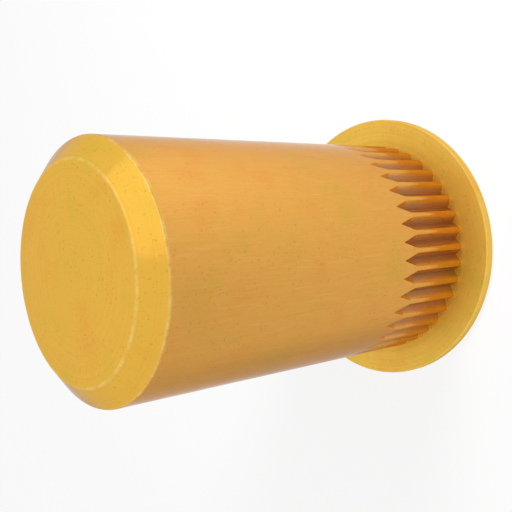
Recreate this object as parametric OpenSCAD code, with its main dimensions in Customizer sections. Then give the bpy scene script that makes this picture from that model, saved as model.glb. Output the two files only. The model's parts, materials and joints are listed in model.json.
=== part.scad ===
// Closed-end blind rivet nut, made as one piece.
// A thin flat flange carries a round shank with straight V grooves next to the flange
// and a chamfer at the closed end. A wide bore runs in from the flange side. Its thin
// wall folds into a bulge when the nut is set. The tapped hole lies behind that bore
// and ends blind in a drill point.
// The axis is Z, the outer face of the flange lies on z = 0 and the closed end is up.

/* [Flange] */
// Outside diameter of the flange
flange_d = 13.88; // [12.4:0.02:16]
// Thickness of the flange
flange_t = 0.5; // [0.3:0.05:1.5]
// Width of the broken edges on the rim of the flange
flange_edge = 0.06; // [0.02:0.02:0.12]

/* [Shank] */
// Outside diameter of the shank
shank_d = 11; // [10.8:0.05:11.4]
// Length of the shank, from the flange to the closed end
shank_l = 18.65; // [18:0.05:30]
// Diameter of the flat face inside the end chamfer
end_face_d = 9.08; // [7:0.02:10]
// Height of the end chamfer
end_chamfer_h = 0.78; // [0.3:0.02:2]

/* [Grooves] */
// Number of V grooves around the shank
groove_count = 40; // [24:1:44]
// Depth of a groove at its bottom line
groove_depth = 0.34; // [0.2:0.02:0.36]
// Angle between the two walls of a groove
groove_angle = 90; // [60:1:92]
// Length of a groove at full depth, measured from the flange
groove_l = 3.55; // [2:0.05:6]
// Length over which the bottom line of a groove rises to the surface
groove_runout = 1.08; // [0.4:0.02:2]
// Angle of the first groove, counted from the X axis
groove_start = 1.2; // [0:0.1:8.9]

/* [Bores] */
// Diameter of the wide bore inside the folding wall
bore_d = 9.1; // [8.4:0.05:9.6]
// Depth of the wide bore, measured from the outer face of the flange
bore_l = 7.4; // [5:0.1:9]
// Width of the chamfer at the mouth of the wide bore
bore_chamfer = 0.2; // [0.1:0.05:0.4]
// Diameter of the hole for the thread, 6.8 for M8
tapped_d = 6.8; // [6.6:0.05:7]
// Length of the hole for the thread, at full diameter
tapped_l = 7.4; // [6:0.1:8]
// Angle of the cone between the two bores, and of the drill point
drill_angle = 118; // [100:1:140]

/* [Hidden] */
$fn = 96;

gold = "#E4B244";

flange_r = flange_d / 2;
shank_r = shank_d / 2;
end_face_r = end_face_d / 2;
bore_r = bore_d / 2;
tapped_r = tapped_d / 2;
total_l = flange_t + shank_l;

root_r = shank_r - groove_depth;
groove_pitch = 360 / groove_count;
full_depth_z = flange_t + groove_l;
runout_tilt = atan(groove_depth / groove_runout);

shoulder_z = bore_l + (bore_r - tapped_r) / tan(drill_angle / 2);
point_z = shoulder_z + tapped_l;
tip_z = point_z + tapped_r / tan(drill_angle / 2);

// How far a cutting shape reaches past the surface that it cuts
over = 1;

module flange() {
    rotate_extrude()
        polygon([
            [0, 0],
            [flange_r - flange_edge, 0],
            [flange_r, flange_edge],
            [flange_r, flange_t - flange_edge],
            [flange_r - flange_edge, flange_t],
            [0, flange_t]
        ]);
}

// The shank starts inside the flange, so that the two overlap
module shank() {
    rotate_extrude()
        polygon([
            [0, flange_t / 2],
            [shank_r, flange_t / 2],
            [shank_r, total_l - end_chamfer_h],
            [end_face_r, total_l],
            [0, total_l]
        ]);
}

// A long prism with a V section. Its bottom line lies on the Z axis, and it opens towards +X
module v_prism(below, above, height, half_width) {
    translate([0, 0, -below])
        linear_extrude(below + above)
            polygon([[0, 0], [height, half_width], [height, -half_width]]);
}

// One groove is the common part of two V prisms with equal wall slopes: one runs along
// the shank, and the other one leans outwards, so that the groove rises to a point
module groove() {
    slope = tan(groove_angle / 2);
    straight_h = groove_depth + over;
    leaning_h = full_depth_z * tan(runout_tilt) + straight_h;
    translate([root_r, 0, full_depth_z])
        intersection() {
            v_prism(full_depth_z, groove_runout + over, straight_h, straight_h * slope);
            rotate([0, runout_tilt, 0])
                v_prism(2 * full_depth_z, 2 * (groove_runout + over), leaning_h,
                    leaning_h * slope / cos(runout_tilt));
        }
}

module grooves() {
    for (i = [0 : groove_count - 1])
        rotate([0, 0, groove_start + i * groove_pitch])
            groove();
}

// The wide bore with its chamfered mouth, the cone behind it, and the tapped hole with
// its drill point, all in one profile
module bores() {
    rotate_extrude()
        polygon([
            [0, -over],
            [bore_r + bore_chamfer + over, -over],
            [bore_r, bore_chamfer],
            [bore_r, bore_l],
            [tapped_r, shoulder_z],
            [tapped_r, point_z],
            [0, tip_z]
        ]);
}

module rivet_nut() {
    color(gold)
        difference() {
            union() {
                flange();
                difference() {
                    shank();
                    grooves();
                }
            }
            bores();
        }
}

rivet_nut();
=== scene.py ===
"""A closed-end rivet nut in yellow-plated steel, standing on its flange.

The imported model's box and mounts give the main sizes. One watertight mesh stands for it,
with the same outside, softly broken edges and a real M8 thread in the tapped hole.
"""

import json
import math

import bpy
from mathutils import Matrix, Vector


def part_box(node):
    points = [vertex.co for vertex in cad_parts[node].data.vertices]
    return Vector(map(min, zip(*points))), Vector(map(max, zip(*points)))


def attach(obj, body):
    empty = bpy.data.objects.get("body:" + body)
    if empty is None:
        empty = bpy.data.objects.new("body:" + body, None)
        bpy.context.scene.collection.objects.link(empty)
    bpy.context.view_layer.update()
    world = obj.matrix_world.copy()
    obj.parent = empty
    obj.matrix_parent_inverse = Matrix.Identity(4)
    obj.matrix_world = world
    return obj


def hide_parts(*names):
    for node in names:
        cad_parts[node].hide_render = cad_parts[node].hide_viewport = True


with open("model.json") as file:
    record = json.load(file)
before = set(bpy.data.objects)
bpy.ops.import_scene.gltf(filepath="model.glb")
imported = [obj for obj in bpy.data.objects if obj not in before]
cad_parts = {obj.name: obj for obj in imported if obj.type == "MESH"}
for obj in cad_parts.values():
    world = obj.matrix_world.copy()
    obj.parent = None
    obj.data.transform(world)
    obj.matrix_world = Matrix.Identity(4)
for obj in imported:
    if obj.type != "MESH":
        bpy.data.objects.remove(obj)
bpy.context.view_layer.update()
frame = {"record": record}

MM = 0.001

# ---------------------------------------------------------------- sizes, in millimetres

mounts = {mount["name"]: mount for mount in frame["record"]["mounts"]}
_, node_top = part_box("rivet_nut")

FLANGE_R = node_top.x / MM
TOTAL_L = node_top.z / MM
FLANGE_T = mounts["flange_clamp_face"]["pos_m"][2] / MM
SHANK_R = mounts["shank"]["dims"]["r_mm"]
CHAMFER_Z = FLANGE_T + mounts["shank"]["dims"]["length_mm"]
BORE_R = mounts["wide_bore"]["dims"]["r_mm"]
TAPPED_R = mounts["thread"]["dims"]["r_mm"]
TAPPED_L = mounts["thread"]["dims"]["length_mm"]

# The flat face inside the end chamfer
END_FACE_R = 4.54

# The wide bore, the cone behind it, the tapped hole and its drill point
BORE_L = 7.4
BORE_CHAMFER = 0.2
DRILL_ANGLE = 118
DRILL_SLOPE = math.tan(math.radians(DRILL_ANGLE / 2))
TAPPED_Z = BORE_L + (BORE_R - TAPPED_R) / DRILL_SLOPE
POINT_Z = TAPPED_Z + TAPPED_L
TIP_Z = POINT_Z + TAPPED_R / DRILL_SLOPE

# The V grooves, whose walls rise at 45 degrees
GROOVE_COUNT = 40
GROOVE_ANGLE = 2 * math.pi / GROOVE_COUNT
GROOVE_START = math.radians(1.2)
GROOVE_DEPTH = 0.34
GROOVE_FULL_L = 3.55
GROOVE_RUN_OUT_L = 1.08
GROOVE_TIP_Z = FLANGE_T + GROOVE_FULL_L + GROOVE_RUN_OUT_L

# The M8 x 1.25 thread. Its root and each of its flanks take a share of the pitch.
THREAD_R = 4.0
THREAD_PITCH = 1.25
THREAD_DEPTH = THREAD_R - TAPPED_R
FLANK_ANGLE = 30
ROOT_SHARE = 1 / 8
FLANK_SHARE = THREAD_DEPTH * math.tan(math.radians(FLANK_ANGLE)) / THREAD_PITCH
FLAT_STEPS = 3
FLANK_STEPS = 5

# Where the thread stops short of the drill point, and how it grows in and fades out
THREAD_END_Z = POINT_Z - 0.5
THREAD_START_L = 0.9
THREAD_FADE_L = 2.4

# Roundings of the edges, and how far the grooves' crests and bottoms are cut back
EDGE_R = 0.1
RIM_R = 0.09
MOUTH_R = 0.05
CREST_CUT = 0.06
BOTTOM_CUT = 0.045

# Faces round a plain stretch: four to a groove
PLAIN_COUNT = 4 * GROOVE_COUNT

# Where two faces meet at more than this angle, their edge is shaded sharp
SHARP_ANGLE = math.radians(50)


# ---------------------------------------------------------------- mesh of the nut


def polar(radius, angle):
    """The (x, y) point at a radius and an angle."""
    return radius * math.cos(angle), radius * math.sin(angle)


def rounded(corners, steps=4):
    """The line through (r, z, rounding) corners, with an arc wherever a rounding is given."""
    line = []
    for k, (r, z, rounding) in enumerate(corners):
        corner = Vector((r, z))
        if not rounding:
            line.append(corner)
            continue
        to_last = (Vector(corners[k - 1][:2]) - corner).normalized()
        to_next = (Vector(corners[k + 1][:2]) - corner).normalized()
        half = to_last.angle(to_next) / 2
        centre = corner + (to_last + to_next).normalized() * (rounding / math.sin(half))
        start = corner + to_last * (rounding / math.tan(half)) - centre
        end = corner + to_next * (rounding / math.tan(half)) - centre
        first = math.atan2(start.y, start.x)
        turn = math.remainder(math.atan2(end.y, end.x) - first, 2 * math.pi)
        for step in range(steps + 1):
            line.append(centre + Vector(polar(rounding, first + turn * step / steps)))
    return line


class Skin:
    """A skin made of rings round the Z axis, each joined to the one before."""

    def __init__(self):
        self.points = []
        self.faces = []

    def ring(self, points):
        """Adds (x, y, z) points in millimetres and returns their numbers."""
        first = len(self.points)
        self.points.extend(points)
        return list(range(first, len(self.points)))

    def round_ring(self, radius, z, count=PLAIN_COUNT):
        turns = [GROOVE_START + 2 * math.pi * i / count for i in range(count)]
        return self.ring([(*polar(radius, turn), z) for turn in turns])

    def gap(self, a, b):
        return math.dist(self.points[a], self.points[b])

    def join(self, low, high):
        """Faces between two rings. Where the counts differ, each triangle takes the shorter way."""
        if len(low) == len(high):
            for i in range(len(low)):
                self.faces.append((low[i - 1], low[i], high[i], high[i - 1]))
            return
        i = j = 0
        while i < len(low) or j < len(high):
            low_now, low_next = low[i % len(low)], low[(i + 1) % len(low)]
            high_now, high_next = high[j % len(high)], high[(j + 1) % len(high)]
            low_way = self.gap(low_next, high_now) if i < len(low) else math.inf
            high_way = self.gap(low_now, high_next) if j < len(high) else math.inf
            if low_way <= high_way:
                self.faces.append((low_now, low_next, high_now))
                i += 1
            else:
                self.faces.append((low_now, high_next, high_now))
                j += 1

    def join_all(self, rings):
        for low, high in zip(rings, rings[1:]):
            self.join(low, high)

    def turn(self, last, corners):
        """Round rings along a rounded line, joined to the last ring. Returns the new last one."""
        rings = [self.round_ring(point.x, point.y) for point in rounded(corners)]
        self.join_all([last, *rings])
        return rings[-1]

    def fan(self, ring, z, at_start=False):
        """Closes a ring with triangles to a point on the axis."""
        (middle,) = self.ring([(0, 0, z)])
        for i in range(len(ring)):
            pair = (ring[i], ring[i - 1]) if at_start else (ring[i - 1], ring[i])
            self.faces.append((*pair, middle))

    def mesh(self, name):
        mesh = bpy.data.meshes.new(name)
        mesh.from_pydata([Vector(point) * MM for point in self.points], [], self.faces)
        return mesh


def softened(before, corner, after):
    """Three points that round a corner off."""
    return [before, (before + corner * 2 + after) / 4, after]


def groove_side(depth):
    """One side of a groove at some depth: (x, y) points from its bottom out to the crest.

    The groove's bottom is on the X axis, and its wall rises at 45 degrees to the shank,
    which it meets at edge_y to the side.
    """
    share = depth / GROOVE_DEPTH
    bottom = Vector((SHANK_R - depth, 0))
    wall = Vector((1, 1)).normalized()
    edge_y = (math.sqrt(2 * SHANK_R**2 - bottom.x**2) - bottom.x) / 2
    edge = bottom + Vector((edge_y, edge_y))
    beyond = math.asin(edge_y / SHANK_R) + CREST_CUT * share / SHANK_R
    on_crest = Vector(polar(SHANK_R, beyond))
    low_wall = bottom + wall * BOTTOM_CUT * share
    middle = Vector(((bottom.x + low_wall.x) / 2, 0))
    return [middle, low_wall, *softened(edge - wall * CREST_CUT * share, edge, on_crest)]


def groove_ring(skin, z, depth):
    """A ring at one height through all the grooves and the crests between them."""
    side = groove_side(depth)
    crest = Vector(polar(SHANK_R, GROOVE_ANGLE / 2))
    next_groove = Matrix.Rotation(GROOVE_ANGLE, 2)
    other_side = [next_groove @ Vector((p.x, -p.y)) for p in reversed(side[1:])]
    points = []
    for i in range(GROOVE_COUNT):
        place = Matrix.Rotation(GROOVE_START + i * GROOVE_ANGLE, 2)
        points += [place @ p for p in (*side, crest, *other_side)]
    return skin.ring([(p.x, p.y, z) for p in points])


def thread_section():
    """(share of the pitch, depth) points along one pitch: root, flank, crest, flank."""
    crest_share = 1 - ROOT_SHARE - 2 * FLANK_SHARE
    stretches = [
        (ROOT_SHARE, THREAD_DEPTH, THREAD_DEPTH, FLAT_STEPS),
        (FLANK_SHARE, THREAD_DEPTH, 0, FLANK_STEPS),
        (crest_share, 0, 0, FLAT_STEPS),
        (FLANK_SHARE, 0, THREAD_DEPTH, FLANK_STEPS),
    ]
    section, start = [], 0
    for share, first, last, steps in stretches:
        for step in range(steps):
            part = step / steps
            section.append((start + share * part, first + (last - first) * part))
        start += share
    return section


def threaded_wall(skin):
    """The wall of the tapped hole. Returns its upper and lower ring.

    Its rows climb with the thread, and stop where they reach one of the two flat rings.
    The thread grows out of the wall at both ends.
    """
    upper = skin.round_ring(TAPPED_R, THREAD_END_Z)
    lower = skin.round_ring(TAPPED_R, TAPPED_Z)
    section = thread_section()
    turns = math.ceil((THREAD_END_Z - TAPPED_Z) / THREAD_PITCH) + 1
    made = {}

    def point(row, column):
        if column == PLAIN_COUNT:
            row, column = row + len(section), 0
        share, depth = section[row % len(section)]
        turn = row // len(section) - 1 + share + column / PLAIN_COUNT
        z = TAPPED_Z + turn * THREAD_PITCH
        if z <= TAPPED_Z:
            return lower[column]
        if z >= THREAD_END_Z:
            return upper[column]
        if (row, column) not in made:
            first_depth = THREAD_DEPTH * (z - TAPPED_Z) / THREAD_START_L
            last_depth = THREAD_DEPTH * (THREAD_END_Z - z) / THREAD_FADE_L
            radius = TAPPED_R + min(depth, first_depth, last_depth)
            angle = GROOVE_START + 2 * math.pi * column / PLAIN_COUNT
            (made[row, column],) = skin.ring([(*polar(radius, angle), z)])
        return made[row, column]

    for row in range(turns * len(section)):
        for column in range(PLAIN_COUNT):
            corners = [
                point(row + 1, column),
                point(row + 1, column + 1),
                point(row, column + 1),
                point(row, column),
            ]
            face = tuple(dict.fromkeys(corners))
            if len(face) > 2:
                skin.faces.append(face)
    return upper, lower


def drill_point(skin):
    """The cone that ends the tapped hole. Returns its wide ring."""
    middle = skin.round_ring(TAPPED_R / 3, (POINT_Z + 2 * TIP_Z) / 3, GROOVE_COUNT)
    wide = skin.round_ring(TAPPED_R, POINT_Z)
    skin.fan(middle, TIP_Z, at_start=True)
    skin.join(middle, wide)
    return wide


def bore_and_flange(skin, last):
    """From the cone behind the wide bore out and round to the flange's inner face."""
    return skin.turn(last, [
        ((TAPPED_R + BORE_R) / 2, (TAPPED_Z + BORE_L) / 2, 0),
        (BORE_R, BORE_L, MOUTH_R),
        (BORE_R, BORE_L * 2 / 3, 0),
        (BORE_R, BORE_L / 3, 0),
        (BORE_R, BORE_CHAMFER, MOUTH_R),
        (BORE_R + BORE_CHAMFER, 0, MOUTH_R),
        (FLANGE_R, 0, RIM_R),
        (FLANGE_R, FLANGE_T, RIM_R),
        (SHANK_R + 2 * BORE_CHAMFER, FLANGE_T, 0),
    ])


def grooved_shank(skin, last):
    """The grooves at full depth, and then ever shallower along their run-out."""
    rings = [groove_ring(skin, FLANGE_T, GROOVE_DEPTH)]
    for share in (1, 0.75, 0.5, 0.25, 0.08):
        z = GROOVE_TIP_Z - share * GROOVE_RUN_OUT_L
        rings.append(groove_ring(skin, z, share * GROOVE_DEPTH))
    skin.join_all([last, *rings])
    return rings[-1]


def shank_and_end(skin, last):
    """The plain shank and the chamfered closed end."""
    last = skin.turn(last, [
        (SHANK_R, GROOVE_TIP_Z, 0),
        (SHANK_R, (2 * GROOVE_TIP_Z + CHAMFER_Z) / 3, 0),
        (SHANK_R, (GROOVE_TIP_Z + 2 * CHAMFER_Z) / 3, 0),
        (SHANK_R, CHAMFER_Z, EDGE_R),
        (END_FACE_R, TOTAL_L, EDGE_R),
        (END_FACE_R * 2 / 3, TOTAL_L, 0),
    ])
    middle = skin.round_ring(END_FACE_R / 3, TOTAL_L, GROOVE_COUNT)
    skin.join(last, middle)
    skin.fan(middle, TOTAL_L)


def nut_skin():
    """The whole surface, from the drill point in the hole out to the closed end."""
    skin = Skin()
    thread_top, thread_bottom = threaded_wall(skin)
    skin.join(drill_point(skin), thread_top)
    flange_ring = bore_and_flange(skin, thread_bottom)
    groove_tips = grooved_shank(skin, flange_ring)
    shank_and_end(skin, groove_tips)
    return skin


def make_nut():
    """The nut as one smooth mesh, whose flat faces stay flat and whose true edges stay sharp."""
    mesh = nut_skin().mesh("nut_body")
    mesh.validate()
    mesh.shade_smooth()
    mesh.set_sharp_from_angle(angle=SHARP_ANGLE)
    nut = bpy.data.objects.new("nut_body", mesh)
    bpy.context.scene.collection.objects.link(nut)
    weights = nut.modifiers.new("flat_faces_stay_flat", "WEIGHTED_NORMAL")
    weights.keep_sharp = True
    return nut


# ---------------------------------------------------------------- material


def srgb(red, green, blue):
    """A colour as it shows on a screen, from 0 to 255, as Blender's linear colour."""

    def linear(value):
        value /= 255
        return value / 12.92 if value <= 0.04045 else ((value + 0.055) / 1.055) ** 2.4

    return (linear(red), linear(green), linear(blue), 1)


class Nodes:
    """Short ways to add shader nodes to a material."""

    def __init__(self, tree):
        self.tree = tree

    def add(self, kind, inputs=None, **settings):
        """Adds a node, then its settings, then its inputs, which may be other nodes' outputs."""
        made = self.tree.nodes.new(kind)
        for name, value in settings.items():
            setattr(made, name, value)
        for name, value in (inputs or {}).items():
            self.feed(made.inputs[name], value)
        return made

    def feed(self, socket, value):
        if isinstance(value, bpy.types.NodeSocket):
            self.tree.links.new(value, socket)
        else:
            socket.default_value = value

    def math(self, operation, a, b=0.0):
        return self.add("ShaderNodeMath", {0: a, 1: b}, operation=operation).outputs[0]

    def plus(self, a, b):
        return self.math("ADD", a, b)

    def minus(self, a, b):
        return self.math("SUBTRACT", a, b)

    def times(self, a, b):
        return self.math("MULTIPLY", a, b)

    def larger(self, a, b):
        return self.math("MAXIMUM", a, b)

    def rise(self, value, low, high, start=0.0, end=1.0):
        """Goes smoothly from start to end while value goes from low to high."""
        ramp = self.add(
            "ShaderNodeMapRange",
            {"Value": value, "From Min": low, "From Max": high, "To Min": start, "To Max": end},
            interpolation_type="SMOOTHSTEP",
        )
        return ramp.outputs["Result"]

    def mix(self, share, a, b, blend_type="MIX"):
        """Colour a where share is 0, and b where it is 1. Inputs 6 and 7 are the colours."""
        inputs = {0: share, 6: a, 7: b}
        made = self.add("ShaderNodeMix", inputs, data_type="RGBA", blend_type=blend_type)
        return made.outputs[2]

    def tint(self, colour, share, by):
        """Multiplies a colour by another one, by the given share."""
        return self.mix(share, colour, by, blend_type="MULTIPLY")

    def noise(self, place, scale, detail=3.0, roughness=0.5):
        made = self.add(
            "ShaderNodeTexNoise",
            {"Vector": place, "Scale": scale, "Detail": detail, "Roughness": roughness},
        )
        return made.outputs["Fac"]


# The plating on the end face and chamfer, the flange, the shank, the grooves and inside.
# The flange's paler yellow is painted light; the shank's tan and the grooves' brown are painted
# shade.
YELLOW = srgb(228, 178, 68)
LIT_PALE_YELLOW = srgb(240, 198, 88)
SHADED_TAN = srgb(221, 162, 77)
SHADE_BROWN = srgb(190, 138, 92)
DULL = srgb(206, 166, 92)

# The zinc where its colour has worn off, the tint of pits, which also darkens the low lines of
# the tool marks a little as painted shade, and the tints of the clouds
BARE_ZINC = srgb(240, 210, 132)
DARK_TINT = (0.5, 0.42, 0.36, 1)
PINK_CAST = (1.0, 0.87, 0.86, 1)
GREEN_CAST = (0.88, 1.0, 0.78, 1)
CAST_SHARE = 0.75

# What tints the metal's mirroring at a grazing angle
GRAZING_TINT = (0.8, 0.68, 0.58, 1)

# How fine each pattern is, in waves to a millimetre
CLOUD_SCALE = 0.4
BLOTCH_SCALE = 0.9
WEAR_SCALE = 2.2
GRAIN_SCALE = 6.0
PIT_SCALE = 9.0
HAIRLINE_SCALE = 11.0
STREAK_SCALE = 14.0
RING_SCALE = 18.0

# Streaks and hairlines are 20 times longer along the shank than across it
DRAWN_OUT = (1, 1, 0.05)

# How high each pattern stands, in micrometres
MARK_H = 1.5
HAIRLINE_H = -1.5
GRAIN_H = 2.0
DENT_H = 4.0

# How much rougher than the rest these places are
INSIDE_ROUGHER = 0.1
GROOVE_ROUGHER = 0.3
FLANGE_ROUGHER = 0.42

# How far wear reaches from an edge, in millimetres
WEAR_REACH = 0.12


class Places:
    """Where a point of the nut is, in millimetres, and masks of 0 to 1 for its surfaces."""

    def __init__(self, n):
        in_metres = n.add("ShaderNodeTexCoord").outputs["Object"]
        in_mm = n.add("ShaderNodeVectorMath", {0: in_metres, "Scale": 1 / MM}, operation="SCALE")
        self.point = in_mm.outputs[0]
        axes = n.add("ShaderNodeSeparateXYZ", {0: self.point}).outputs
        x, y, self.z = axes["X"], axes["Y"], axes["Z"]
        self.radius = n.math("SQRT", n.plus(n.times(x, x), n.times(y, y)))

        # These masks also place the colour's painted shade and light: tan on the shank, paler on
        # the flange, brown in the grooves
        closed_end = n.rise(self.z, CHAMFER_Z - EDGE_R / 2, CHAMFER_Z + EDGE_R / 2)
        self.flange = n.rise(self.z, FLANGE_T + EDGE_R / 10, FLANGE_T + EDGE_R / 2, 1, 0)
        self.flats = n.larger(closed_end, self.flange)
        self.walls = n.minus(1, self.flats)
        near_axis = n.rise(self.radius, BORE_R, BORE_R + BORE_CHAMFER, 1, 0)
        self.inside = n.times(near_axis, n.minus(1, closed_end))
        outer_walls = n.times(self.walls, n.minus(1, self.inside))
        depth = n.minus(SHANK_R, self.radius)
        self.groove = n.times(n.rise(depth, EDGE_R / 5, 0.6 * GROOVE_DEPTH), outer_walls)


def worn_edges(n, at):
    """Wear along the outer edges, broken up by noise."""
    edges = 0
    outer_edges = (
        (END_FACE_R, TOTAL_L),
        (SHANK_R, CHAMFER_Z),
        (FLANGE_R, 0),
        (FLANGE_R, FLANGE_T),
    )
    for edge_r, edge_z in outer_edges:
        from_r = n.minus(at.radius, edge_r)
        from_z = n.minus(at.z, edge_z)
        away = n.math("SQRT", n.plus(n.times(from_r, from_r), n.times(from_z, from_z)))
        edges = n.larger(edges, n.rise(away, EDGE_R / 4, WEAR_REACH, 1, 0))
    patches = n.rise(n.noise(at.point, WEAR_SCALE, 5, 0.6), 0.4, 0.66, 0.1, 0.55)
    return n.times(edges, patches)


def tool_marks(n, at):
    """Streaks drawn along the shank or rings turned into the flat faces, and hairlines."""
    along = n.add("ShaderNodeVectorMath", {0: at.point, 1: DRAWN_OUT}, operation="MULTIPLY")
    streaks = n.noise(along.outputs[0], STREAK_SCALE, 4, 0.6)
    around = n.add("ShaderNodeCombineXYZ", {"X": at.radius, "Y": n.times(at.z, 0.7)})
    rings = n.noise(around.outputs[0], RING_SCALE, 3, 0.6)
    marks = n.add("ShaderNodeMix", {0: at.flats, 2: streaks, 3: rings}).outputs[0]
    hairlines = n.rise(n.noise(along.outputs[0], HAIRLINE_SCALE, 1), 0.64, 0.7)
    return marks, n.times(hairlines, at.walls)


def plating_and_painted_light_colour(n, at, marks, hairlines):
    """Yellow, with painted shade on the shank and in the grooves and painted light on the flange,
    and the pink and green clouds of a passivate, pits and wear.
    """
    # Painted shade: the shank is tan and only the flat faces yellow, though the plating is one
    # colour
    colour = n.mix(at.flats, SHADED_TAN, YELLOW)
    # Painted light: the flange is painted a paler yellow
    colour = n.mix(at.flange, colour, LIT_PALE_YELLOW)
    # Painted shade: the grooves are painted brown, deeper in more
    colour = n.mix(at.groove, colour, SHADE_BROWN)
    colour = n.mix(at.inside, colour, DULL)
    clouds = n.noise(at.point, CLOUD_SCALE, 4, 0.6)
    colour = n.tint(colour, n.rise(clouds, 0.5, 0.72, 0, CAST_SHARE), PINK_CAST)
    colour = n.tint(colour, n.rise(clouds, 0.28, 0.5, CAST_SHARE, 0), GREEN_CAST)
    # Painted shade: the low lines of the tool marks are darkened a little
    colour = n.tint(colour, n.rise(marks, 0.3, 0.6, 0.08, 0), DARK_TINT)
    pits = n.rise(n.noise(at.point, PIT_SCALE, 3), 0.58, 0.8, 0, 0.5)
    colour = n.tint(colour, pits, DARK_TINT)
    colour = n.mix(n.times(hairlines, 0.08), colour, BARE_ZINC)
    return n.mix(worn_edges(n, at), colour, BARE_ZINC)


def plating_roughness(n, at, marks):
    """Satin and blotchy, rougher in the bores and the grooves, and roughest on the flange."""
    rough = n.rise(n.noise(at.point, BLOTCH_SCALE, 5, 0.6), 0.3, 0.7, 0.1, 0.18)
    rough = n.plus(rough, n.rise(marks, 0.35, 0.65, 0.05, -0.02))
    rough = n.plus(rough, n.times(at.inside, INSIDE_ROUGHER))
    rough = n.plus(rough, n.times(at.groove, GROOVE_ROUGHER))
    return n.plus(rough, n.times(at.flange, FLANGE_ROUGHER))


def plating_relief(n, at, marks, hairlines):
    """Bump from the tool marks, a fine grain, shallow dents and hairline scratches."""
    height = n.times(marks, MARK_H)
    height = n.plus(height, n.times(hairlines, HAIRLINE_H))
    height = n.plus(height, n.times(n.noise(at.point, GRAIN_SCALE, 4, 0.6), GRAIN_H))
    height = n.plus(height, n.times(n.noise(at.point, BLOTCH_SCALE, 2), DENT_H))
    bump = n.add("ShaderNodeBump", {"Height": height, "Distance": 1e-6})
    return bump.outputs["Normal"]


def plated_steel():
    """Zinc plating with a yellow passivate, yellow on the flat faces, painted tan on the shank and
    brown in the grooves as painted shade, and paler on the flange as painted light.
    """
    material = bpy.data.materials.new("plated_steel")
    material.use_nodes = True
    shader = material.node_tree.nodes["Principled BSDF"]
    shader.inputs["Metallic"].default_value = 0.92
    shader.inputs["Specular Tint"].default_value = GRAZING_TINT
    n = Nodes(material.node_tree)
    at = Places(n)
    marks, hairlines = tool_marks(n, at)
    n.feed(shader.inputs["Base Color"], plating_and_painted_light_colour(n, at, marks, hairlines))
    n.feed(shader.inputs["Roughness"], plating_roughness(n, at, marks))
    n.feed(shader.inputs["Normal"], plating_relief(n, at, marks, hairlines))
    return material


# ---------------------------------------------------------------- floor, light and camera

# The floor lies just under the nut, with a hole that its flange hides
FLOOR_Z = -0.02
FLOOR_RADII = (2000, 300, 40, FLANGE_R - RIM_R)
FLOOR_COUNT = 96

# As the camera and the metal see it, the floor has these shares of plain white up to the
# near distance from the nut, and is all white from the far one on, so that no horizon shows
NEAR = 25
FAR = 200
WHITE_TO_CAMERA = 0.85
WHITE_IN_METAL = 0.5

# The camera and the metal see a white world, which lights the surfaces by half as much
WORLD_LIGHT = 0.5


def make_floor():
    """A pale round floor that keeps the nut's shadow, and is clear from below."""
    skin = Skin()
    skin.join_all([skin.round_ring(radius, FLOOR_Z, FLOOR_COUNT) for radius in FLOOR_RADII])
    floor = bpy.data.objects.new("floor", skin.mesh("floor"))
    bpy.context.scene.collection.objects.link(floor)

    material = bpy.data.materials.new("pale_floor")
    material.use_nodes = True
    n = Nodes(material.node_tree)
    n.tree.nodes.clear()
    rays = n.add("ShaderNodeLightPath").outputs
    mirrored = n.larger(rays["Is Glossy Ray"], rays["Is Transmission Ray"])
    place = n.add("ShaderNodeTexCoord").outputs["Object"]
    distance = n.add("ShaderNodeVectorMath", {0: place}, operation="LENGTH").outputs["Value"]
    to_camera = n.rise(distance, NEAR * MM, FAR * MM, WHITE_TO_CAMERA, 1)
    in_metal = n.rise(distance, NEAR * MM, FAR * MM, WHITE_IN_METAL, 1)
    white = n.larger(n.times(rays["Is Camera Ray"], to_camera), n.times(mirrored, in_metal))
    paint = n.add("ShaderNodeBsdfDiffuse", {"Color": (0.9, 0.9, 0.9, 1)}).outputs[0]
    glow = n.add("ShaderNodeEmission", {"Color": (1, 1, 1, 1), "Strength": 1.0}).outputs[0]
    lit = n.add("ShaderNodeMixShader", {0: white, 1: paint, 2: glow}).outputs[0]
    clear = n.add("ShaderNodeBsdfTransparent").outputs[0]
    below = n.add("ShaderNodeNewGeometry").outputs["Backfacing"]
    both = n.add("ShaderNodeMixShader", {0: below, 1: lit, 2: clear}).outputs[0]
    n.add("ShaderNodeOutputMaterial", {"Surface": both})
    floor.data.materials.append(material)


def make_world():
    world = bpy.data.worlds.new("studio")
    world.use_nodes = True
    bpy.context.scene.world = world
    n = Nodes(world.node_tree)
    n.tree.nodes.clear()
    rays = n.add("ShaderNodeLightPath").outputs
    mirrored = n.larger(rays["Is Glossy Ray"], rays["Is Transmission Ray"])
    seen = n.larger(rays["Is Camera Ray"], mirrored)
    strength = n.add("ShaderNodeMapRange", {"Value": seen, "To Min": WORLD_LIGHT, "To Max": 1.0})
    sky = n.add("ShaderNodeBackground", {"Color": (1, 1, 1, 1)})
    n.feed(sky.inputs["Strength"], strength.outputs["Result"])
    n.add("ShaderNodeOutputWorld", {"Surface": sky.outputs[0]})


def direction(azimuth, elevation):
    """The way from the part to something seen at an azimuth (0 is -Y, 90 is +X)."""
    a, e = math.radians(azimuth), math.radians(elevation)
    return Vector((math.sin(a) * math.cos(e), -math.cos(a) * math.cos(e), math.sin(e)))


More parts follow.
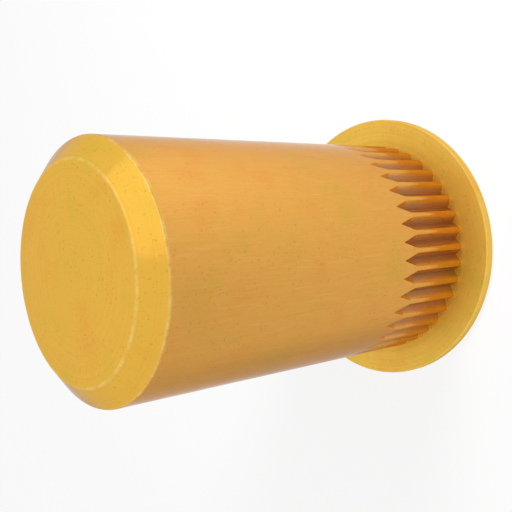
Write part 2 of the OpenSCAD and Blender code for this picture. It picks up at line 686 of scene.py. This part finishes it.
def make_lamp(name, azimuth, elevation, distance, size, watts, in_metal):
    """A square soft box that faces the middle of the nut, with its lengths in shank radii.

    It shows in the metal only if in_metal is true, and lights the floor either way.
    """
    light = bpy.data.lights.new(name, "AREA")
    light.size = size * SHANK_R * MM
    light.energy = watts
    lamp = bpy.data.objects.new(name, light)
    lamp.visible_glossy = in_metal
    away = direction(azimuth, elevation)
    lamp.location = Vector((0, 0, TOTAL_L / 2 * MM)) + away * distance * SHANK_R * MM
    lamp.rotation_euler = away.to_track_quat("Z", "Y").to_euler()
    bpy.context.scene.collection.objects.link(lamp)


# The camera looks down on the part, and is turned on its side so that the closed end is
# at the left. Its distance and its two shifts from the shank's middle are in shank radii.
CAMERA_ELEVATION = 41.84
CAMERA_ROLL = math.radians(-94.97)
CAMERA_DISTANCE = 6.73
CAMERA_RIGHT = 0.056
CAMERA_UP = 0.021
CAMERA_LENS = 55.1


def make_camera():
    level_right = Vector((1, 0, 0))
    back = direction(0, CAMERA_ELEVATION)
    level_up = back.cross(level_right)
    right = level_right * math.cos(CAMERA_ROLL) + level_up * math.sin(CAMERA_ROLL)
    up = back.cross(right)
    middle = Vector((0, 0, (FLANGE_T + TOTAL_L) / 2 * MM))
    steps = right * CAMERA_RIGHT + up * CAMERA_UP + back * CAMERA_DISTANCE
    place = Matrix((right, up, back)).transposed().to_4x4()
    place.translation = middle + steps * SHANK_R * MM

    camera = bpy.data.objects.new("camera", bpy.data.cameras.new("camera"))
    camera.matrix_world = place
    camera.data.lens = CAMERA_LENS
    camera.data.clip_start = MM
    camera.data.clip_end = 5000 * MM
    bpy.context.scene.collection.objects.link(camera)
    bpy.context.scene.camera = camera


# ---------------------------------------------------------------- the scene

nut = make_nut()
nut.data.materials.append(plated_steel())
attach(nut, "root")
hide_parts("rivet_nut")

make_floor()
make_world()
make_lamp("key", azimuth=72, elevation=40, distance=10, size=3.2, watts=0.03, in_metal=False)
make_lamp("soft_box", azimuth=70, elevation=50, distance=12, size=12, watts=0.0035, in_metal=True)
make_camera()
bpy.context.scene.view_settings.view_transform = "Standard"
